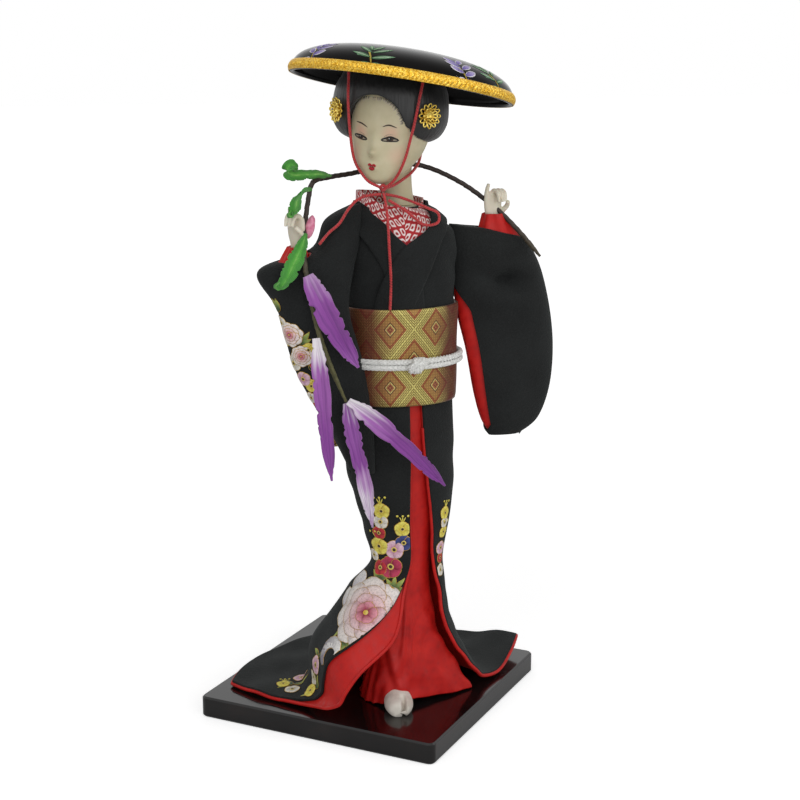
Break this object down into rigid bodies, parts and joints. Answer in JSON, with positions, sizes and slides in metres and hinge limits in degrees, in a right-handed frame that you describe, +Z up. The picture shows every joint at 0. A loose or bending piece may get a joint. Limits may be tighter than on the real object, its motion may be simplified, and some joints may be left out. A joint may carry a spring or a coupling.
{
  "type": "geisha doll",
  "caption": "Standing geisha doll on a square board, in a trailing black kimono and brocade sash, with a wide lacquered hat and a wisteria branch across the shoulders; the head turns.",
  "frame": {"origin": "centre of the board's underside", "axes": "+Z up; the doll looks towards -Y, over a corner of the board; its right hand is towards -X"},
  "size_m": [0.167, 0.167, 0.308],
  "materials": {
    "board_lacquer": "gloss black lacquer",
    "steel": "plain",
    "dowel": "bare",
    "stuffing": "padded",
    "white_cloth": "matte",
    "red_silk": "soft sheen, figured weave",
    "black_crepe": "matte crepe with printed flowers",
    "dotted_red": "tie-dyed white rings on red",
    "gold_brocade": "woven metallic thread",
    "white_braid": "braided",
    "ivory": "eggshell",
    "hair": "satin fibre",
    "gilt_metal": "polished",
    "hat_lacquer": "gloss black lacquer with painted sprays",
    "gold_braid": "metallic thread",
    "red_cord": "twisted",
    "wire_paper": "paper-wrapped wire",
    "leaf_green": "matte",
    "bud_pink": "matte",
    "petal_purple": "velvety, fading to white"
  },
  "bodies": {
    "figure": {"base_board": "board_lacquer", "base_screw": "steel", "leg_wire": "steel", "support_post": "dowel", "neck_peg": "dowel", "torso_core": "stuffing", "right_arm_wire": "stuffing", "left_arm_wire": "stuffing", "front_foot": "white_cloth", "skirt_lining": "red_silk", "under_robe": "red_silk", "right_sleeve_lining": "red_silk", "left_sleeve_lining": "red_silk", "kimono_skirt": "black_crepe", "kimono_bodice": "black_crepe", "kimono_collar": "black_crepe", "right_sleeve": "black_crepe", "left_sleeve": "black_crepe", "under_collar": "dotted_red", "obi_band": "gold_brocade", "obi_drum": "gold_brocade", "obi_tail": "gold_brocade", "obi_cord": "white_braid", "obi_cord_knot": "white_braid", "right_hand": "ivory", "left_hand": "ivory", "cord_tail_front": "red_cord", "cord_tail_shoulder": "red_cord", "cord_loop_left": "red_cord", "branch_stem": "wire_paper", "leaf_1": "leaf_green", "leaf_2": "leaf_green", "leaf_3": "leaf_green", "branch_bud": "bud_pink", "petal_1": "petal_purple", "petal_2": "petal_purple", "petal_3": "petal_purple", "petal_4": "petal_purple"},
    "head": {"head": "ivory", "wig": "hair", "right_hair_flower": "gilt_metal", "left_hair_flower": "gilt_metal", "hat_shell": "hat_lacquer", "hat_trim": "gold_braid", "hat_cord_right": "red_cord", "hat_cord_left": "red_cord", "hat_cord_back": "red_cord", "hat_cord_bow": "red_cord"}
  },
  "joints": [
    {"name": "head_turn", "type": "hinge", "parent": "figure", "child": "head", "pos_m": [0.004, -0.029, 0.25], "axis": [0, 0, 1], "range_deg": [-20, 20]}
  ]
}
